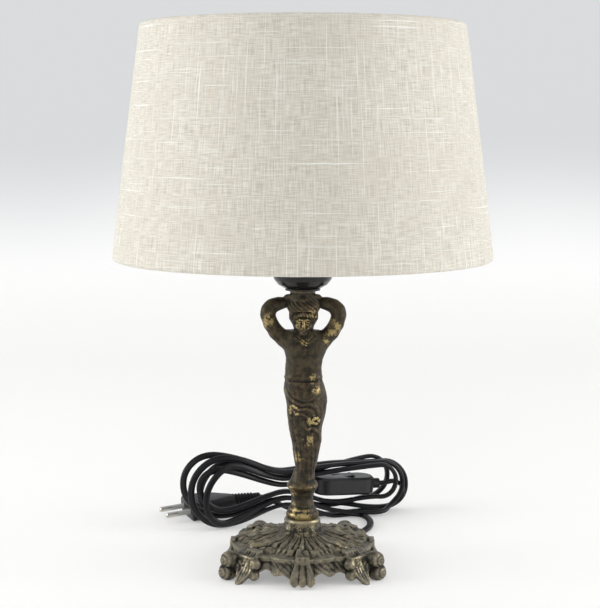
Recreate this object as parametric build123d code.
from build123d import *
import os
from math import atan2, cos, hypot, pi, radians, sin, sqrt, tan

# Figural table lamp, in millimetres. +Z is up, the front faces -Y, and the origin is on the
# table under the middle of the base. Each driving size is written once, in the block below.

# --- cast base ---
RIM_RADIUS = 47.5           # over the scallops, without the feet
RIM_TOP_Z = 18.5            # upper edge of the dish at its rim
RIM_EDGE_Z = 10.0           # lower edge of the rim, above the table
DISH_CROWN_Z = 25.0         # dish at the foot of the collar
DISH_WALL = 2.8
COLLAR_RADIUS = 12.0
COLLAR_FOOT_RADIUS = 14.0
COLLAR_TOP_Z = 34.0         # seat of the figure
BOSS_Z = 19.0               # underside of the boss that the nut pulls on
BOSS_RADIUS = 11.0
SCALLOPS = 24
SCALLOP_RADIUS = 6.2
LEAVES = 16
LEAF_HEIGHT = 1.7
LEAF_WIDTH = 8.4
FEET = 4
FOOT_REACH = 55.0           # from the middle to the outer face of a foot
FOOT_DEPTH = 9.5
SCROLL_RADIUS = 6.2
SCROLL_SPREAD = 6.8
HANGING_LEAF_WIDTH = 15.0
HANGING_LEAF_TIP_Z = 4.8

# --- cast figure, from the collar up ---
FIGURE_HEIGHT = 153.0       # collar to the top of the capital
CORD_BORE = 6.4
CAPITAL_RADIUS = 8.6
ARM_RADIUS = 4.1
ELBOW_SPREAD = 24.6         # middle of the arm at the elbow, from the middle of the figure
HEAD_RADIUS = 7.3
HEAD_DROP = 19.0            # middle of the head below the capital's top
SHOULDER_DROP = 26.0        # top of the body below the capital's top
RELIEF = 0.9                # how far the drapery stands off the body
OVAL_SIDES = 24

# --- nipples, nut and washer, M10 x 1 ---
THREAD_D = 10.0
NIPPLE_BORE = 7.0
THREAD_GAP = 0.05
HOLE_GAP = 0.3
LOWER_NIPPLE_GRIP = 12.0    # how far it is screwed into the figure
LOWER_NIPPLE_END_Z = 12.5
UPPER_NIPPLE_GRIP = 14.0
UPPER_NIPPLE_STAND = 9.6    # above the disc, inside the holder
NUT_WIDTH = 14.0
NUT_HEIGHT = 3.0
WASHER_RADIUS = 9.5
WASHER_HEIGHT = 1.2
BUSHING_FLANGE = 1.2
BUSHING_FLANGE_RADIUS = 5.0
DISC_RADIUS = 11.6
DISC_HEIGHT = 1.2

# --- lamp holder for a 27 mm screw cap ---
HOLDER_FOOT_RADIUS = 9.5
DOME_RADIUS = 21.0
DOME_HEIGHT = 14.0
CAP_HEIGHT = 24.0
HOLDER_WALL = 2.4
SLEEVE_RADIUS = 19.7
HOLDER_HEIGHT = 58.0
SKIRT_LENGTH = 8.0          # of the sleeve, screwed into the cap
SLEEVE_INSIDE = 16.5
SLEEVE_MOUTH = 14.8
CARRIER_BOTTOM = 19.8       # above the holder's foot
CARRIER_HEIGHT = 8.2
SCREW_SHELL_INSIDE = 13.3
SCREW_SHELL_WALL = 0.4
SCREW_SHELL_HEIGHT = 26.0
RING_RADIUS = 27.5
RING_HEIGHT = 5.0
RING_GAP = 0.3              # running clearance of the shade rings on the sleeve
RING_SEAT = 28.0            # underside of the lower ring above the holder's foot
LOCK_SCREW_D = 3.0

# --- shade ---
SHADE_BOTTOM_D = 250.0
SHADE_TOP_D = 211.0
SHADE_HEIGHT = 152.0
SHADE_DROP = 13.7           # carrier washer above the shade's lower edge
LINEN = 0.5
LINER = 0.4
SHADE_WIRE_D = 3.0
WIRE_SIDES = 8
FOLD_SIDES = 3
LINEN_WRAP = 120.0          # how far round the wire the linen is folded, from level
GLUE_GAP = 0.05
WASHER_SEAT_GAP = 0.1
CARRIER_WASHER_OUTER = 33.0
CARRIER_WASHER_HEIGHT = 1.2
CARRIER_ARMS = 3
FIRST_ARM_ANGLE = 90.0

# --- flat two-core cord ---
CORD_WIDTH = 5.0
CORD_THICK = 3.2
CORD_LAY = 0.2              # clearance over the table

# --- hank, standing on its edge behind the base ---
HANK_ANGLE = 20.0           # its length, turned back from +X
HANK_BACK = 121.0           # where it passes behind the middle of the base
HANK_LAYER = 6.2            # between the middles of its two layers
HANK_TURNS = 2
WAIST_ALONG = -14.0
WAIST_Z = 27.0
WAIST_STEP = 4.9
LOBE_STEP = 4.7
RIGHT_END = 84.0
RIGHT_TOP_Z = 45.5
RIGHT_NEAR = 28.0
RIGHT_END_STEP = 4.7
LEFT_END = -89.0
LEFT_TOP_Z = 56.0
LEFT_END_STEP = 5.2
LEAST_STRAND_GAP = 0.4

# --- cord switch ---
SWITCH_LENGTH = 48.0
SWITCH_WIDTH = 22.0
SWITCH_HEIGHT = 13.0
SWITCH_NOZZLE = 5.0
SWITCH_NOZZLE_D = 7.6
SWITCH_ALONG = 33.0
SWITCH_Z = 24.8
SWITCH_SLOPE = 3.0
ROCKER_LENGTH = 14.4
ROCKER_WIDTH = 9.4
ROCKER_TILT = 8.0           # either way from level
ROCKER_GAP = 0.35
ROCKER_PIN_D = 2.0
SWITCH_SCREW_D = 2.6

# --- flat two-pin plug ---
PLUG_FACE_X = -87.0
PLUG_FACE_Y = 127.0
PLUG_LENGTH = 36.0
PLUG_WIDTH = 35.3
PLUG_HEIGHT = 13.7
PLUG_TAIL = 16.0
PLUG_TAIL_D = 7.0
PLUG_TILT = 5.0
PIN_D = 4.0
PIN_LENGTH = 19.0
PIN_SLEEVE = 10.0
PIN_SPACING = 18.6

# --- heights that follow ---
CAPITAL_Z = COLLAR_TOP_Z + FIGURE_HEIGHT
HOLDER_Z = CAPITAL_Z + DISC_HEIGHT
LOWER_RING_Z = HOLDER_Z + RING_SEAT
CARRIER_WASHER_Z = LOWER_RING_Z + RING_HEIGHT + WASHER_SEAT_GAP
SHADE_Z = CARRIER_WASHER_Z - SHADE_DROP
UPPER_RING_Z = CARRIER_WASHER_Z + CARRIER_WASHER_HEIGHT + WASHER_SEAT_GAP
SHADE_LIFT = HOLDER_HEIGHT - RING_SEAT + 15.0

THREAD_R = THREAD_D / 2
CORD_Z = CORD_THICK / 2 + CORD_LAY


# ---------- helpers ----------
def turned(*points):
    """Solid of revolution about Z from (radius, height) corners."""
    outline = Polyline(*points, close=True)
    return revolve(Plane.XZ * make_face(outline), Axis.Z)


def tube(outer, inner, bottom, height):
    """Plain ring or pipe that stands on bottom."""
    ring = Circle(outer) - Circle(inner)
    return Pos(0, 0, bottom) * extrude(ring, height)


def arc_points(middle, radius, first, last, sides):
    """Corners along an arc, with the angles in degrees."""
    angles = [radians(first + (last - first) * i / sides) for i in range(sides + 1)]
    return [(middle[0] + radius * cos(a), middle[1] + radius * sin(a)) for a in angles]


def ball(radius, sides=6):
    """Knob turned with a few flats, so that it stays light."""
    return turned(*arc_points((0, 0), radius, -90, 90, sides))


def around(shape, count, first=0.0):
    """Copies of shape, evenly spaced about Z."""
    return [Rot(0, 0, first + 360.0 * i / count) * shape for i in range(count)]


def oval(half_x, half_y, sides=OVAL_SIDES):
    """Flat-sided oval, close to an ellipse of these half widths."""
    turns = [2 * pi * (i + 0.5) / sides for i in range(sides)]
    return make_face(Polyline(*[(half_x * cos(t), half_y * sin(t)) for t in turns], close=True))


def loft_rings(rings):
    """Straight loft through ovals given as (z, middle x, middle y, half width, half depth)."""
    return loft([Pos(mid_x, mid_y, z) * oval(half_x, half_y)
                 for z, mid_x, mid_y, half_x, half_y in rings], ruled=True)


def write(name, shape):
    """Write one node. A node of several like pieces is a compound of their solids."""
    if isinstance(shape, (list, tuple)):
        shape = Compound(children=[piece for item in shape for piece in item.solids()])
    shape.label = name
    export_step(shape, f"parts/{name}.step")


# ---------- cast base ----------
def dish_top_z(radius):
    """Height of the plain dish surface: a shallow ogee from the collar's foot to the rim."""
    share = (radius - COLLAR_FOOT_RADIUS) / (RIM_RADIUS - COLLAR_FOOT_RADIUS)
    return DISH_CROWN_Z - (DISH_CROWN_Z - RIM_TOP_Z) * share ** 0.8


def dish():
    """Collar, crown and rim in one turned shell, open below, cut to the scalloped outline."""
    mid_radius = (COLLAR_FOOT_RADIUS + RIM_RADIUS) / 2
    flat_end = RIM_RADIUS - 3.0
    lip_r = RIM_RADIUS + 1.0
    bore_r = THREAD_R + HOLE_GAP
    body = turned(
        (COLLAR_FOOT_RADIUS, DISH_CROWN_Z), (mid_radius, dish_top_z(mid_radius)),
        (flat_end, RIM_TOP_Z), (lip_r - 0.9, RIM_TOP_Z - 2.6), (lip_r, RIM_EDGE_Z),
        (lip_r - DISH_WALL, RIM_EDGE_Z), (flat_end - 2.0, RIM_TOP_Z - DISH_WALL),
        (mid_radius, dish_top_z(mid_radius) - DISH_WALL),
        (BOSS_RADIUS + 2.0, DISH_CROWN_Z - DISH_WALL), (BOSS_RADIUS, BOSS_Z),
        (bore_r, BOSS_Z), (bore_r, COLLAR_TOP_Z), (COLLAR_RADIUS - 1.2, COLLAR_TOP_Z),
        (COLLAR_RADIUS, COLLAR_TOP_Z - 1.2), (COLLAR_RADIUS, DISH_CROWN_Z + 3.4),
        (COLLAR_RADIUS + 0.6, DISH_CROWN_Z + 1.4),
    )
    scallop = Pos(RIM_RADIUS - SCALLOP_RADIUS, 0) * Circle(SCALLOP_RADIUS)
    outline = Circle(RIM_RADIUS - 1.6)
    outline += around(scallop, SCALLOPS, 180.0 / SCALLOPS)
    return body & Pos(0, 0, -1.0) * extrude(outline, COLLAR_TOP_Z + 2.0)


def leaf():
    """One radiating leaf: a low rib that widens from the collar to the rim."""
    stations = []
    for share, width in ((0.0, 0.25), (0.35, 0.55), (0.72, 1.0), (1.0, 0.72)):
        radius = COLLAR_FOOT_RADIUS - 1.5 + share * (RIM_RADIUS - COLLAR_FOOT_RADIUS - 2.5)
        middle = Plane(origin=(radius, 0, dish_top_z(max(radius, COLLAR_FOOT_RADIUS)) - 0.3),
                       x_dir=(0, 1, 0), z_dir=(1, 0, 0))
        half, high = width * LEAF_WIDTH / 2, LEAF_HEIGHT * (0.7 + 0.3 * width)
        outline = Polyline((half, 0), (half * 0.5, high * 0.8), (0, high), (-half * 0.5, high * 0.8),
                           (-half, 0), (0, -high), close=True)
        stations.append(middle * make_face(outline))
    return loft(stations, ruled=True)


def hanging_leaf():
    """The leaf that laps over the rim between two feet, with three ribs, clear of the table."""
    width = HANGING_LEAF_WIDTH
    drop = RIM_TOP_Z - HANGING_LEAF_TIP_Z
    outline = Polyline((-width * 0.30, 0), (width * 0.30, 0), (width * 0.5, -drop * 0.82),
                       (width * 0.2, -drop), (-width * 0.2, -drop), (-width * 0.5, -drop * 0.82),
                       close=True)
    face = Plane(origin=(RIM_RADIUS - 1.6, 0, RIM_TOP_Z - 0.6), x_dir=(0, 1, 0), z_dir=(1, 0, 0))
    blade = extrude(face * make_face(outline), 2.6)
    ribs = []
    for side in (-1, 0, 1):
        start = (RIM_RADIUS + 0.6, side * width * 0.10, RIM_TOP_Z - 2.0)
        end = (RIM_RADIUS + 1.6, side * width * 0.30, HANGING_LEAF_TIP_Z + 1.6)
        path = Line(start, end)
        ribs.append(sweep(Plane(origin=start, z_dir=path % 0) * RegularPolygon(1.2, 6), path))
    return blade + ribs


def foot():
    """Two scrolls side by side under a cap, with raised eyes, cut flat where it stands."""
    middle_z = SCROLL_RADIUS - 0.5
    outline = Pos(0, middle_z + 6.2) * Circle(5.4)
    for side in (-1, 1):
        outline += Pos(side * SCROLL_SPREAD, middle_z) * Circle(SCROLL_RADIUS)
    outline += Pos(0, middle_z) * Rectangle(SCROLL_SPREAD * 1.2, 2 * SCROLL_RADIUS - 3.0)
    root = Plane(origin=(FOOT_REACH - FOOT_DEPTH, 0, 0), x_dir=(0, 1, 0), z_dir=(1, 0, 0))
    body = extrude(root * outline, FOOT_DEPTH)
    for side in (-1, 1):
        eye = Plane(origin=(FOOT_REACH, side * SCROLL_SPREAD, middle_z), z_dir=(1, 0, 0))
        body += extrude(eye * Circle(SCROLL_RADIUS * 0.45), 1.2)
    neck = Plane(origin=(FOOT_REACH - FOOT_DEPTH - 5.0, 0, middle_z + 7.4),
                 x_dir=(0, 1, 0), z_dir=(1, 0, 0))
    body += extrude(neck * Rectangle(11.0, 4.6), FOOT_DEPTH)
    below = Pos(FOOT_REACH, 0, -5.0) * Box(60, 60, 10.0)
    return body - below


def base_casting():
    body = dish() + around(leaf(), LEAVES)
    body += around(hanging_leaf(), FEET)
    body += around(foot(), FEET, 180.0 / FEET)
    bore = Pos(0, 0, BOSS_Z) * Cylinder(THREAD_R + HOLE_GAP, 60, align=BASE_ALIGN)
    return body - bore


# ---------- cast figure ----------
BASE_ALIGN = (Align.CENTER, Align.CENTER, Align.MIN)

# Heights are measured from the collar's top. Each row is one level of the body:
# height, middle x, middle y, half width, half depth.
BODY_LEVELS = (
    (26.6, 1.1, 0.0, 7.0, 6.8),
    (33.3, 1.7, 0.2, 6.2, 6.3),
    (38.6, 2.3, 0.2, 7.5, 7.0),
    (50.4, 2.6, 0.0, 9.3, 8.2),
    (62.5, 1.8, -0.3, 11.2, 9.3),
    (70.4, 2.7, -0.5, 12.8, 10.2),
    (78.4, 3.0, -0.3, 13.6, 10.8),
    (86.3, 1.3, 0.0, 14.1, 10.9),
    (94.3, 0.4, 0.0, 12.3, 9.6),
    (102.3, 0.6, 0.0, 12.1, 9.0),
    (108.0, 1.2, -0.3, 12.2, 9.2),
    (114.0, 1.9, -0.5, 14.2, 9.8),
    (119.0, 1.2, -0.2, 16.6, 9.6),
    (123.5, 0.4, 0.2, 15.0, 8.2),
    (127.0, 0.3, 0.3, 8.0, 6.5),
)


STRETCH = (FIGURE_HEIGHT - SHOULDER_DROP) / BODY_LEVELS[-1][0]


def body_form(stand_off=0.0):
    rings = [(COLLAR_TOP_Z + z * STRETCH, x, y, half_x + stand_off, half_y + stand_off)
             for z, x, y, half_x, half_y in BODY_LEVELS]
    return loft_rings(rings)


def baluster():
    """Turned foot of the figure: ring, waist and the flared hem that stands on it."""
    z = COLLAR_TOP_Z
    return turned(
        (0, z), (9.6, z), (10.4, z + 1.2), (10.4, z + 3.6), (9.2, z + 5.0), (7.6, z + 8.0),
        (7.1, z + 13.5), (8.6, z + 18.5), (10.2, z + 21.6), (9.8, z + 23.2), (8.0, z + 25.5),
        (6.9, z + 28.5), (0, z + 28.5),
    )


def head():
    """Head with its hair swept up into the capital, built of round forms."""
    brow = CAPITAL_Z - HEAD_DROP
    crown = CAPITAL_Z - 5.0
    face = Pos(0, -1.0, brow) * ball(HEAD_RADIUS)
    back = Pos(0, 1.6, brow + 0.8) * ball(HEAD_RADIUS)
    chin = Pos(0, -4.6, brow - 3.6) * ball(3.1, 4)
    hair = Pos(0, 0, brow + 3.0) * Cone(HEAD_RADIUS + 0.7, CAPITAL_RADIUS - 0.2,
                                        crown - brow - 3.0, align=BASE_ALIGN)
    nose = Pos(0, -HEAD_RADIUS - 0.9, brow - 2.6) * Rot(8, 0, 0) * Cone(1.3, 0.5, 4.2)
    neck = Pos(0, 0.3, brow - 11.0) * Cylinder(5.2, 12.0)
    return Pos(0.4, 0, 0) * (face + back + chin + hair + neck + nose)


def capital():
    top = CAPITAL_Z
    return turned(
        (0, top), (CAPITAL_RADIUS, top), (CAPITAL_RADIUS, top - 1.0),
        (CAPITAL_RADIUS - 0.9, top - 3.0), (CAPITAL_RADIUS + 0.2, top - 6.0), (0, top - 6.0),
    )


def arm(side):
    """Upper arm out to the elbow, then the forearm back in to the capital."""
    top = CAPITAL_Z
    route = [
        (side * 11.0 + 0.8, 0.2, top - 33.5),
        (side * 17.6 + 0.8, 0.2, top - 27.4),
        (side * ELBOW_SPREAD, 0.6, top - 14.8),
        (side * 17.5, 1.6, top - 8.4),
        (side * 5.0, 2.6, top - 7.6),
    ]
    path = FilletPolyline(*route, radius=[9.0, 4.6, 9.0])
    start = Plane(origin=path @ 0, z_dir=path % 0)
    limb = sweep(start * RegularPolygon(ARM_RADIUS + 0.1, 10), path)
    shoulder = Pos(side * 12.4 + 1.0, 0.1, top - 32.4) * ball(ARM_RADIUS + 1.6)
    hand = Pos(side * 6.4, 1.6, top - 6.6) * Rot(0, 0, side * 12) * Box(8.0, 6.4, 5.4)
    return limb + shoulder + hand


def drapery():
    """Apron, hip sash and knot, cut from the body's form stood off by the relief."""
    raised = body_form(RELIEF)
    base = COLLAR_TOP_Z
    front = Plane(origin=(0, 0, base), x_dir=(1, 0, 0), z_dir=(0, -1, 0))
    apron = Pos(0.6, 92.5 * STRETCH) * oval(10.2, 9.2)
    apron -= Pos(0.6, 104.5 * STRETCH) * Rectangle(30, 10)
    sash = Pos(-1.0, 78.0 * STRETCH) * oval(13.6, 9.0)
    sash -= Pos(-2.6, 80.6 * STRETCH) * oval(11.0, 7.4)
    tail = Pos(8.4, 66.0 * STRETCH) * Rot(0, 0, 24) * oval(3.2, 11.0)
    fold = Pos(-5.6, 60.0 * STRETCH) * Rot(0, 0, -10) * oval(2.2, 15.0)
    pattern = apron + sash + tail + fold
    relief = raised & extrude(front * pattern, 30.0)
    band = raised & Pos(0, 0, base + 95.0 * STRETCH) * Box(60, 60, 2.4)
    knot = Pos(13.2, -7.4, base + 69.6 * STRETCH) * ball(3.0, 4)
    return relief + band + knot


def figure_casting():
    body = baluster() + body_form() + head() + capital()
    body += arm(-1) + arm(1)
    body += drapery()
    bore = Pos(0, 0, COLLAR_TOP_Z) * Cylinder(CORD_BORE / 2, FIGURE_HEIGHT, align=BASE_ALIGN)
    lower = Pos(0, 0, COLLAR_TOP_Z) * Cylinder(THREAD_R + THREAD_GAP, LOWER_NIPPLE_GRIP,
                                               align=BASE_ALIGN)
    upper = Pos(0, 0, CAPITAL_Z - UPPER_NIPPLE_GRIP) * Cylinder(
        THREAD_R + THREAD_GAP, UPPER_NIPPLE_GRIP, align=BASE_ALIGN)
    return body - bore - lower - upper


# ---------- nipples, nut, washer, bushing, disc ----------
def fixings():
    lower_top = COLLAR_TOP_Z + LOWER_NIPPLE_GRIP
    lower_nipple = tube(THREAD_R, NIPPLE_BORE / 2, LOWER_NIPPLE_END_Z,
                        lower_top - LOWER_NIPPLE_END_Z)
    upper_bottom = CAPITAL_Z - UPPER_NIPPLE_GRIP
    upper_top = HOLDER_Z + UPPER_NIPPLE_STAND
    upper_nipple = tube(THREAD_R, NIPPLE_BORE / 2, upper_bottom, upper_top - upper_bottom)
    washer_z = BOSS_Z - WASHER_HEIGHT
    washer = tube(WASHER_RADIUS, THREAD_R + HOLE_GAP, washer_z, WASHER_HEIGHT)
    hexagon = RegularPolygon(NUT_WIDTH / 2, 6, major_radius=False)
    nut = Pos(0, 0, washer_z - NUT_HEIGHT) * extrude(
        hexagon - Circle(THREAD_R + THREAD_GAP), NUT_HEIGHT)
    bore = CORD_WIDTH / 2 + 0.1
    bushing = tube(BUSHING_FLANGE_RADIUS, bore, LOWER_NIPPLE_END_Z - BUSHING_FLANGE,
                   BUSHING_FLANGE)
    bushing += tube(NIPPLE_BORE / 2 - THREAD_GAP, bore, LOWER_NIPPLE_END_Z, 5.0)
    disc = tube(DISC_RADIUS, THREAD_R + HOLE_GAP, CAPITAL_Z, DISC_HEIGHT)
    return {
        "lower_nipple": lower_nipple,
        "upper_nipple": upper_nipple,
        "base_washer": washer,
        "base_nut": nut,
        "cord_bushing": bushing,
        "capital_disc": disc,
    }


# ---------- lamp holder ----------
def dome(inset, sides):
    """Turned form of the dome, inset from its outer surface."""
    foot = HOLDER_FOOT_RADIUS - (0.5 if inset else 0.0)
    low = HOLDER_Z + inset
    wall_r = DOME_RADIUS - inset
    top = HOLDER_Z + CAP_HEIGHT
    curve = []
    for i in range(sides + 1):
        turn = radians(90.0 * i / sides)
        curve.append((foot + (wall_r - foot) * sin(turn),
                      low + (DOME_HEIGHT - inset) * (1 - cos(turn))))
    return turned((0, low), *curve, (wall_r, top), (0, top))


def holder_cap():
    shell = dome(0, 5) - dome(HOLDER_WALL, 2)
    boss = Pos(0, 0, HOLDER_Z + 0.5) * Cylinder(8.6, 9.0, align=BASE_ALIGN)
    cap = shell + boss
    cap -= Pos(0, 0, HOLDER_Z - 1) * Cylinder(THREAD_R + THREAD_GAP, 20, align=BASE_ALIGN)
    return cap - lock_screw_space(LOCK_SCREW_D / 2 + THREAD_GAP)


def lock_screw_space(radius, length=3.4):
    """The lock screw's place in the boss, square to the nipple, behind the lamp."""
    start = Plane(origin=(0, THREAD_R + THREAD_GAP, HOLDER_Z + 6.5), z_dir=(0, 1, 0))
    return extrude(start * Circle(radius), length)


def holder_sleeve():
    cap_top = HOLDER_Z + CAP_HEIGHT
    skirt_r = DOME_RADIUS - HOLDER_WALL - THREAD_GAP
    mouth_z = HOLDER_Z + HOLDER_HEIGHT
    carrier_top = HOLDER_Z + CARRIER_BOTTOM + CARRIER_HEIGHT
    return turned(
        (SLEEVE_INSIDE, cap_top - SKIRT_LENGTH), (skirt_r, cap_top - SKIRT_LENGTH),
        (skirt_r, cap_top), (SLEEVE_RADIUS, cap_top), (SLEEVE_RADIUS, mouth_z - 0.8),
        (SLEEVE_RADIUS - 0.8, mouth_z), (SLEEVE_MOUTH, mouth_z), (SLEEVE_MOUTH, mouth_z - 2.2),
        (SLEEVE_INSIDE, mouth_z - 2.2), (SLEEVE_INSIDE, carrier_top + 1.2),
        (SLEEVE_MOUTH, carrier_top + 1.2), (SLEEVE_MOUTH, carrier_top),
        (SLEEVE_INSIDE, carrier_top),
    )


def contact_set():
    """Ceramic carrier with the screw shell on it, a centre contact and two terminals."""
    bottom = HOLDER_Z + CARRIER_BOTTOM
    top = bottom + CARRIER_HEIGHT
    carrier = Pos(0, 0, bottom) * Cylinder(SLEEVE_INSIDE - 0.1, CARRIER_HEIGHT, align=BASE_ALIGN)
    terminal_x = 9.0
    wire_hole = Circle(1.3)
    screw_r = 1.5
    wires, screws = [], []
    for side in (-1, 1):
        carrier -= Pos(side * terminal_x, 0, bottom) * extrude(wire_hole, 4.0)
        axis = Plane(origin=(side * terminal_x, -10.5, bottom + 2.4), z_dir=(0, -1, 0))
        carrier -= extrude(axis * Circle(2.4), 6.0)
        carrier -= extrude(axis * Circle(screw_r + 0.05), -6.0)
        shank = extrude(axis * Circle(screw_r), -6.0)
        screws.append(shank + extrude(axis * Circle(2.2), 1.6))
        start = (side * 1.2, 0, HOLDER_Z + UPPER_NIPPLE_STAND + 0.2)
        route = [start, (side * 1.2, 0, start[2] + 3.4), (side * terminal_x, 0, bottom - 4.0),
                 (side * terminal_x, 0, bottom + 3.6)]
        path = FilletPolyline(*route, radius=2.2)
        wires.append(sweep(Plane(origin=route[0], z_dir=path % 0) * RegularPolygon(1.1, 6), path))
    recess = 4.4
    carrier -= Pos(0, 0, top) * Box(8.0, 11.0, 2 * recess)
    shell_outer = SCREW_SHELL_INSIDE + SCREW_SHELL_WALL
    screw_shell = tube(shell_outer, SCREW_SHELL_INSIDE, top, SCREW_SHELL_HEIGHT)
    screw_shell += tube(SCREW_SHELL_INSIDE + 0.1, 9.5, top, SCREW_SHELL_WALL)
    spring_side = Polyline((-4.5, 0), (4.5, 0), (4.5, 0.6), (-2.6, 0.6), (3.4, 3.6), (3.1, 4.2),
                           (-4.5, 0.6), close=True)
    spring_plane = Plane(origin=(0, 0, top - recess), x_dir=(0, 1, 0), z_dir=(1, 0, 0))
    spring = extrude(spring_plane * make_face(spring_side), 3.0, both=True)
    return {
        "contact_carrier": carrier,
        "screw_shell": screw_shell,
        "centre_contact": spring,
        "terminal_screws": screws,
        "wire_live": wires[0],
        "wire_neutral": wires[1],
    }


def shade_ring(bottom):
    """Ring nut with a grip flange. Its thread runs free on the sleeve."""
    inner = SLEEVE_RADIUS + RING_GAP
    ring = turned(
        (inner, bottom), (RING_RADIUS - 1.6, bottom), (RING_RADIUS, bottom + 1.6),
        (RING_RADIUS, bottom + RING_HEIGHT), (inner, bottom + RING_HEIGHT),
    )
    notch = Pos(RING_RADIUS + 0.5, 0, bottom + RING_HEIGHT / 2) * Box(2.0, 2.4, RING_HEIGHT + 1)
    return ring - around(notch, 16)


# ---------- shade ----------
WALL_SLOPE = atan2((SHADE_BOTTOM_D - SHADE_TOP_D) / 2, SHADE_HEIGHT)
WALL_OUT = (cos(WALL_SLOPE), sin(WALL_SLOPE))
WIRE_R = SHADE_WIRE_D / 2
FOLD_INNER = WIRE_R + GLUE_GAP + LINER + GLUE_GAP
FOLD_OUTER = FOLD_INNER + LINEN


def wall_radius(z):
    return SHADE_BOTTOM_D / 2 - (z - SHADE_Z) * tan(WALL_SLOPE)


def wire_centre(z):
    """Middle of a wire ring whose fold touches the shade's cone at about height z."""
    return (wall_radius(z) - FOLD_OUTER / cos(WALL_SLOPE), z)


BOTTOM_WIRE = wire_centre(SHADE_Z + FOLD_OUTER)
TOP_WIRE = wire_centre(SHADE_Z + SHADE_HEIGHT - FOLD_OUTER)


def off(centre, radius, direction):
    return (centre[0] + radius * direction[0], centre[1] + radius * direction[1])


def shade_cover():
    """Linen folded round both wire rings, one closed strip turned about Z."""
    slope = WALL_SLOPE * 180 / pi
    outside, inside = [], []
    for centre, end in ((BOTTOM_WIRE, -LINEN_WRAP), (TOP_WIRE, LINEN_WRAP)):
        fold_out = arc_points(centre, FOLD_OUTER, slope, end, FOLD_SIDES)
        fold_in = arc_points(centre, FOLD_INNER, slope, end, FOLD_SIDES)
        outside += fold_out[::-1] if end < 0 else fold_out
        inside += fold_in[::-1] if end < 0 else fold_in
    return turned(*outside, *inside[::-1])


def shade_liner():
    inner = WIRE_R + GLUE_GAP
    return turned(
        off(BOTTOM_WIRE, inner, WALL_OUT), off(BOTTOM_WIRE, inner + LINER, WALL_OUT),
        off(TOP_WIRE, inner + LINER, WALL_OUT), off(TOP_WIRE, inner, WALL_OUT),
    )


def wire_ring(centre):
    return turned(*arc_points(centre, WIRE_R, 0, 360 - 360 / WIRE_SIDES, WIRE_SIDES - 1))


def shade_carrier():
    """Bottom wire ring, three arms and the washer that the shade rings clamp, welded."""
    washer_inner = SLEEVE_RADIUS + 1.3
    frame = wire_ring(BOTTOM_WIRE)
    frame += tube(CARRIER_WASHER_OUTER, washer_inner, CARRIER_WASHER_Z, CARRIER_WASHER_HEIGHT)
    arm_end = CARRIER_WASHER_OUTER - 3.0
    seat_z = CARRIER_WASHER_Z - WIRE_R + 0.4
    route = [(BOTTOM_WIRE[0], 0, BOTTOM_WIRE[1]), (BOTTOM_WIRE[0] - 14.0, 0, BOTTOM_WIRE[1]),
             (arm_end + 14.0, 0, seat_z), (arm_end, 0, seat_z)]
    path = FilletPolyline(*route, radius=20.0)
    rod = sweep(Plane(origin=route[0], z_dir=path % 0) * RegularPolygon(WIRE_R, WIRE_SIDES), path)
    return frame + around(rod, CARRIER_ARMS, FIRST_ARM_ANGLE)


# ---------- cord ----------
def cord_face(origin, along, across):
    """Flat cord section with cut corners: its width lies along across."""
    half_w = CORD_WIDTH / 2
    half_t = CORD_THICK / 2
    cut = CORD_THICK * 0.3
    corners = Polyline(
        (half_w - cut, -half_t), (half_w, -half_t + cut), (half_w, half_t - cut),
        (half_w - cut, half_t), (cut - half_w, half_t), (-half_w, half_t - cut),
        (-half_w, cut - half_t), (cut - half_w, -half_t), close=True)
    return Plane(origin=origin, x_dir=across, z_dir=along) * make_face(corners)


def biarc(p1, t1, p2, t2):
    """Two tangent arcs from p1 along t1 to p2 along t2."""
    chord = p2 - p1
    both = t1 + t2
    bend = 2 * (1 - t1.dot(t2))
    if bend < 1e-9:
        reach = chord.dot(chord) / (4 * chord.dot(t1))
    else:
        lean = chord.dot(both)
        reach = (sqrt(lean * lean + bend * chord.dot(chord)) - lean) / bend
    joint = (p1 + t1 * reach + p2 - t2 * reach) * 0.5
    return [smooth_edge(p1, t1, joint), smooth_edge(p2, t2 * -1, joint, back=True)]


def smooth_edge(start, tangent, end, back=False):
    straight = (end - start).normalized().cross(tangent).length < 1e-6
    if straight:
        return Edge.make_line(end, start) if back else Edge.make_line(start, end)
    edge = Edge.make_tangent_arc(start, tangent, end)
    if not back:
        return edge
    middle = edge @ 0.5
    return Edge.make_three_point_arc(end, middle, start)


ALONG = Vector(cos(radians(HANK_ANGLE)), sin(radians(HANK_ANGLE)), 0)
ACROSS = Vector(-sin(radians(HANK_ANGLE)), cos(radians(HANK_ANGLE)), 0)
UP = Vector(0, 0, 1)
HANK_MIDDLE = Vector(0, HANK_BACK, 0)
NODES_PER_TURN = 10


def hank_point(along, z, across):
    return HANK_MIDDLE + ALONG * along + UP * z + ACROSS * across


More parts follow.
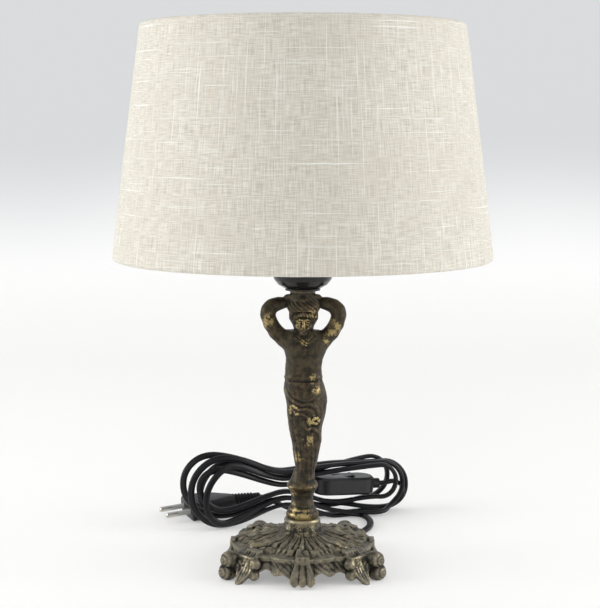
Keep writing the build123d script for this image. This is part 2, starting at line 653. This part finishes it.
def hank_node(index, progress, across):
    """Place and direction of one node of a loop: progress counts turns in from the outside."""
    low = CORD_THICK / 2 + CORD_LAY + LOBE_STEP * progress
    right_high = RIGHT_TOP_Z - CORD_THICK / 2 - LOBE_STEP * progress
    left_high = LEFT_TOP_Z - CORD_THICK / 2 - LOBE_STEP * progress
    right_r = (right_high - low) / 2
    left_r = (left_high - low) / 2
    right_end = RIGHT_END - RIGHT_END_STEP * progress
    left_end = LEFT_END + LEFT_END_STEP * progress
    waist_half = WAIST_STEP * (HANK_TURNS + 0.85 - progress)
    left, right = ALONG * -1, ALONG
    spots = (
        (RIGHT_NEAR, low, left),
        (WAIST_ALONG, WAIST_Z - waist_half, left),
        (left_end + left_r, low, left),
        (left_end, low + left_r, UP),
        (left_end + left_r, left_high, right),
        (WAIST_ALONG, WAIST_Z + waist_half, right),
        (RIGHT_NEAR, right_high, right),
        (right_end - right_r, right_high, right),
        (right_end, low + right_r, UP * -1),
        (right_end - right_r, low, left),
    )
    along, z, way = spots[index % NODES_PER_TURN]
    return hank_point(along, z, across), way


def join_nodes(nodes):
    edges = []
    for (p1, t1), (p2, t2) in zip(nodes, nodes[1:]):
        edges += biarc(p1, t1, p2, t2)
    return edges


def switch_end(side):
    """Where the cord meets the switch's nozzle, and the way it runs there."""
    slope = radians(SWITCH_SLOPE)
    reach = SWITCH_LENGTH / 2 + SWITCH_NOZZLE
    way = ALONG * cos(slope) - UP * sin(slope)
    return hank_point(SWITCH_ALONG, SWITCH_Z, 0) + way * (side * reach), way


def hank_lamp_side():
    """Nearer layer: from the lead, two turns and a half inwards, to the switch."""
    last = HANK_TURNS * NODES_PER_TURN + 5
    nodes = []
    for j in range(last + 1):
        climb = 0.35 if j == last else 1.0
        nodes.append(hank_node(j, j / NODES_PER_TURN, -HANK_LAYER / 2 * climb))
    end, way = switch_end(-1)
    edges = join_nodes(nodes + [(end - way * CORD_WIDTH, way)])
    start, first_way = nodes[0]
    lead_in = start - first_way * CORD_WIDTH
    return ([Edge.make_line(lead_in, start)] + edges
            + [Edge.make_line(end - way * CORD_WIDTH, end)])


def hank_plug_side():
    """Farther layer: from the switch, two turns outwards, to the plug's lead."""
    first = 8
    last = (HANK_TURNS + 1) * NODES_PER_TURN
    start, way = switch_end(1)
    nodes = [(start + way * CORD_WIDTH, way)]
    for j in range(first, last + 1):
        nodes.append(hank_node(j, (last - j) / NODES_PER_TURN, HANK_LAYER / 2))
    edges = join_nodes(nodes)
    finish, last_way = nodes[-1]
    lead_out = finish + last_way * CORD_WIDTH
    return ([Edge.make_line(start, nodes[0][0])] + edges
            + [Edge.make_line(finish, lead_out)])


def strand(edges):
    path = Wire(edges)
    first = edges[0]
    section = cord_face(first @ 0, first % 0, ACROSS)
    return sweep(section, path)


def sample(edges, step=1.6):
    """Evenly spaced points along a chain of edges, with their distance from its start."""
    points, gone = [], 0.0
    for edge in edges:
        count = max(2, int(edge.length / step))
        for i in range(count):
            points.append((gone + edge.length * i / count, edge @ (i / count)))
        gone += edge.length
    return points


def strand_gap(here, there, clear):
    """Least clear distance between two flat strands whose widths both lie across the hank.
    Points of one strand closer than clear along it are neighbours, and don't count."""
    least = 1e9
    for run_a, a in here:
        for run_b, b in there:
            if here is there and abs(run_a - run_b) < clear:
                continue
            apart = a - b
            wide = abs(apart.dot(ACROSS))
            flat = sqrt(max(apart.length ** 2 - wide ** 2, 0.0))
            gap_wide = wide - CORD_WIDTH
            gap_flat = flat - CORD_THICK
            if gap_wide > 0 and gap_flat > 0:
                gap = hypot(gap_wide, gap_flat)
            else:
                gap = max(gap_wide, gap_flat)
            least = min(least, gap)
    return least


def route_radii(route):
    """Fillet radii of a cord's route: 0.45 of the shorter run over the tangent of half the turn."""
    radii = []
    for a, b, c in zip(route, route[1:], route[2:]):
        one, two = Vector(b) - Vector(a), Vector(c) - Vector(b)
        turn = radians(one.get_angle(two))
        radii.append(0.45 * min(one.length, two.length) / tan(turn / 2))
    return radii


def free_stretch(name, route, across):
    """Flat cord along straight runs joined by arcs as large as the runs allow."""
    radii = route_radii(route)
    path = FilletPolyline(*route, radius=radii)
    section = cord_face(path @ 0, path % 0, across)
    line = sweep(section, path)
    share = line.volume / (section.area * path.length)
    print(f"{name}: length {path.length:.1f}, least radius {min(radii):.1f}, "
          f"volume over section times length {share:.4f}")
    return line


def lamp_lead():
    """From the bushing down to the table, out between two feet and back to the hank."""
    end, way = hank_node(0, 0.0, -HANK_LAYER / 2)
    meet = end - way * CORD_WIDTH
    before = meet - way * 6.0
    exit_z = LOWER_NIPPLE_END_Z - BUSHING_FLANGE
    z = CORD_Z
    route = [
        (0, 0, exit_z), (0, 0, 8.0), (0.9, 2.4, 4.2), (3.2, 8.4, z), (7.4, 19.0, z),
        (11.8, 31.6, z), (14.6, 45.0, z), (23.0, 57.0, z), (34.4, 66.4, z), (44.0, 79.0, z),
        (49.6, 93.0, z), (51.0, 106.4, z), (49.6, 119.0, z), (44.8, 129.0, z),
        tuple(before), tuple(meet),
    ]
    return free_stretch("cord_lead", route, Vector(-2.4, 0.9, 0).normalized())


def plug_axes():
    yaw, tilt = radians(HANK_ANGLE), radians(PLUG_TILT)
    nose = Vector(-cos(yaw) * cos(tilt), -sin(yaw) * cos(tilt), -sin(tilt))
    return nose, ACROSS


def plug_face_middle():
    nose, _ = plug_axes()
    lift = PLUG_HEIGHT / 2 * cos(radians(PLUG_TILT)) + 0.1
    return Vector(PLUG_FACE_X, PLUG_FACE_Y, lift)


def plug_lead():
    """From the hank's farther layer across the table and up to the plug's tail."""
    nose, _ = plug_axes()
    tail = plug_face_middle() - nose * (PLUG_LENGTH + PLUG_TAIL)
    start, way = hank_node(0, 0.0, HANK_LAYER / 2)
    leave = start + way * CORD_WIDTH
    route = [
        tuple(leave), tuple(leave + way * 7.0), tuple(hank_point(6.0, CORD_Z + 0.2, 10.0)),
        tuple(hank_point(-1.0, CORD_Z + 1.4, 20.0)), tuple(hank_point(-8.0, CORD_Z + 4.0, 29.0)),
        tuple(tail - nose * 7.0), tuple(tail),
    ]
    return free_stretch("cord_plug_lead", route, ACROSS)


def cord_inner():
    bottom = LOWER_NIPPLE_END_Z - BUSHING_FLANGE
    top = HOLDER_Z + UPPER_NIPPLE_STAND
    length = top - bottom
    print(f"cord_inner: length {length:.1f}")
    return Pos(0, 0, bottom) * extrude(SlotOverall(CORD_WIDTH, CORD_THICK), length)


# ---------- cord switch ----------
def switch_plane():
    slope = radians(SWITCH_SLOPE)
    way = ALONG * cos(slope) - UP * sin(slope)
    return Plane(origin=hank_point(SWITCH_ALONG, SWITCH_Z, 0), x_dir=way, z_dir=way.cross(ACROSS))


PIVOT_Z = SWITCH_HEIGHT / 2 - 2.6


def switch_half(side):
    half = SWITCH_HEIGHT / 2
    outline = RectangleRounded(SWITCH_LENGTH, SWITCH_WIDTH, SWITCH_WIDTH / 2 - 0.6)
    shell = extrude(outline, side * half)
    shell = chamfer(shell.faces().sort_by(Axis.Z)[-1 if side > 0 else 0].edges(), 1.6)
    reach = SWITCH_LENGTH / 2 + SWITCH_NOZZLE
    nozzle = Rot(0, 90, 0) * Cylinder(SWITCH_NOZZLE_D / 2, 2 * reach)
    keep = Pos(0, 0, side * half / 2) * Box(2 * reach + 2, SWITCH_WIDTH, half)
    return shell + (nozzle & keep)


def cord_switch():
    upper, lower = switch_half(1), switch_half(-1)
    reach = ROCKER_LENGTH / 2 + 0.75 + ROCKER_GAP
    floor = PIVOT_Z - 3.0
    pocket = Pos(0, 0, floor) * Box(2 * reach, ROCKER_WIDTH + 2 * ROCKER_GAP, 20, align=BASE_ALIGN)
    upper -= pocket
    pin_length = ROCKER_WIDTH + 6.0
    across = Pos(0, 0, PIVOT_Z) * Rot(90, 0, 0)
    upper -= across * Cylinder(ROCKER_PIN_D / 2 + 0.02, pin_length)
    pin = across * Cylinder(ROCKER_PIN_D / 2, pin_length - 0.2)
    half = ROCKER_LENGTH / 2
    side_view = Polyline((-half, 3.2), (0, 2.5), (half, 3.2), (half, 1.2), (1.6, -2.0),
                         (-1.6, -2.0), (-half, 1.2), close=True)
    rocker = extrude(Plane.XZ * make_face(side_view), ROCKER_WIDTH / 2, both=True)
    rocker -= Rot(90, 0, 0) * Cylinder(ROCKER_PIN_D / 2 + 0.05, ROCKER_WIDTH + 1)
    rocker = Pos(0, 0, PIVOT_Z) * Rot(0, -ROCKER_TILT, 0) * rocker
    screws = []
    for end in (-1, 1):
        x = end * (SWITCH_LENGTH / 2 - 6.5)
        head_z = -SWITCH_HEIGHT / 2
        lower -= Pos(x, 0, head_z) * Cylinder(SWITCH_SCREW_D + 0.1, 1.7, align=BASE_ALIGN)
        hole = Pos(x, 0, head_z) * Cylinder(SWITCH_SCREW_D / 2 + 0.05, 10.2, align=BASE_ALIGN)
        lower -= hole
        upper -= hole
        screw = Pos(x, 0, head_z + 0.1) * Cylinder(SWITCH_SCREW_D, 1.6, align=BASE_ALIGN)
        screw += Pos(x, 0, head_z + 0.1) * Cylinder(SWITCH_SCREW_D / 2, 10.0, align=BASE_ALIGN)
        screws.append(screw)
    spot = switch_plane()
    pivot = spot.from_local_coords(Vector(0, 0, PIVOT_Z))
    print(f"rocker pivot {tuple(round(v, 3) for v in pivot)}, axis {tuple(spot.y_dir)}")
    return {
        "switch_upper_shell": spot * upper,
        "switch_lower_shell": spot * lower,
        "switch_rocker": spot * rocker,
        "rocker_pin": spot * pin,
        "switch_screws": [spot * screw for screw in screws],
    }


# ---------- plug ----------
def plug():
    """Moulded body, flat and as wide as its face, drawn in to a tail; pins with sleeves."""
    nose, side = plug_axes()
    spot = Plane(origin=plug_face_middle(), x_dir=side, z_dir=nose * -1)
    stations = []
    for back, width, height in ((10.0, 1.0, 1.0), (24.0, 0.78, 0.92), (PLUG_LENGTH, 0.40, 0.78)):
        outline = RectangleRounded(width * PLUG_WIDTH, height * PLUG_HEIGHT, 4.2)
        stations.append(Pos(0, 0, back) * outline)
    body = extrude(RectangleRounded(PLUG_WIDTH, PLUG_HEIGHT, 4.2), 10.0)
    body += loft(stations, ruled=True)
    groove_frame = RectangleRounded(PLUG_WIDTH + 2, PLUG_HEIGHT + 2, 4.2) - RectangleRounded(
        PLUG_WIDTH - 1.4, PLUG_HEIGHT - 1.4, 3.5)
    for back in (2.4, 5.2, 8.0):
        body -= Pos(0, 0, back) * extrude(groove_frame, 1.1)
    body += Pos(0, 0, PLUG_LENGTH) * Cone(PLUG_TAIL_D / 2 + 1.2, PLUG_TAIL_D / 2 - 0.6, PLUG_TAIL,
                                          align=BASE_ALIGN)
    pins, sleeves = [], []
    core_r = PIN_D / 2 - 0.6
    seat = 6.0
    for way in (-1, 1):
        x = way * PIN_SPACING / 2
        body -= Pos(x, 0, 0) * Cylinder(core_r + 0.02, seat, align=BASE_ALIGN)
        sleeve = Pos(x, 0, -PIN_SLEEVE) * Cylinder(PIN_D / 2 - 0.1, PIN_SLEEVE, align=BASE_ALIGN)
        sleeve -= Pos(x, 0, -PIN_SLEEVE) * Cylinder(core_r + 0.02, PIN_SLEEVE, align=BASE_ALIGN)
        sleeves.append(sleeve)
        tip_length = PIN_LENGTH - PIN_SLEEVE
        tip = Pos(x, 0, -PIN_LENGTH) * Cylinder(PIN_D / 2, tip_length, align=BASE_ALIGN)
        tip = chamfer(tip.faces().sort_by(Axis.Z)[0].edges(), 1.0)
        pins.append(tip + Pos(x, 0, -PIN_SLEEVE) * Cylinder(core_r, PIN_SLEEVE + seat - 0.1,
                                                            align=BASE_ALIGN))
    return {
        "plug_body": spot * body,
        "plug_pins": [spot * pin for pin in pins],
        "plug_pin_sleeves": [spot * sleeve for sleeve in sleeves],
    }


def main():
    os.makedirs("parts", exist_ok=True)
    pieces = {"base_casting": base_casting(), "figure_casting": figure_casting()}
    pieces.update(fixings())
    pieces["holder_cap"] = holder_cap()
    pieces["cap_lock_screw"] = lock_screw_space(LOCK_SCREW_D / 2, 3.3)
    pieces["holder_sleeve"] = holder_sleeve()
    pieces.update(contact_set())
    pieces["lower_shade_ring"] = shade_ring(LOWER_RING_Z)
    pieces["upper_shade_ring"] = shade_ring(UPPER_RING_Z)
    pieces["shade_cover"] = shade_cover()
    pieces["shade_liner"] = shade_liner()
    pieces["top_wire_ring"] = wire_ring(TOP_WIRE)
    pieces["shade_carrier"] = shade_carrier()
    lamp_side, plug_side = hank_lamp_side(), hank_plug_side()
    pieces["cord_hank_lamp_side"] = strand(lamp_side)
    pieces["cord_hank_plug_side"] = strand(plug_side)
    pieces["cord_lead"] = lamp_lead()
    pieces["cord_plug_lead"] = plug_lead()
    pieces["cord_inner"] = cord_inner()
    pieces.update(cord_switch())
    pieces.update(plug())
    near, far = sample(lamp_side), sample(plug_side)
    lengths = [sum(edge.length for edge in chain) for chain in (lamp_side, plug_side)]
    gaps = (strand_gap(near, near, 12.0), strand_gap(far, far, 12.0), strand_gap(near, far, 0.0))
    print(f"hank lengths {lengths[0]:.0f} and {lengths[1]:.0f}, least gaps "
          + ", ".join(f"{gap:.2f}" for gap in gaps) + f", wanted {LEAST_STRAND_GAP}")
    print(f"shade lift {SHADE_LIFT:.1f}, lamp height {SHADE_Z + SHADE_HEIGHT:.1f}")
    for name, shape in pieces.items():
        write(name, shape)


if __name__ == "__main__":
    main()
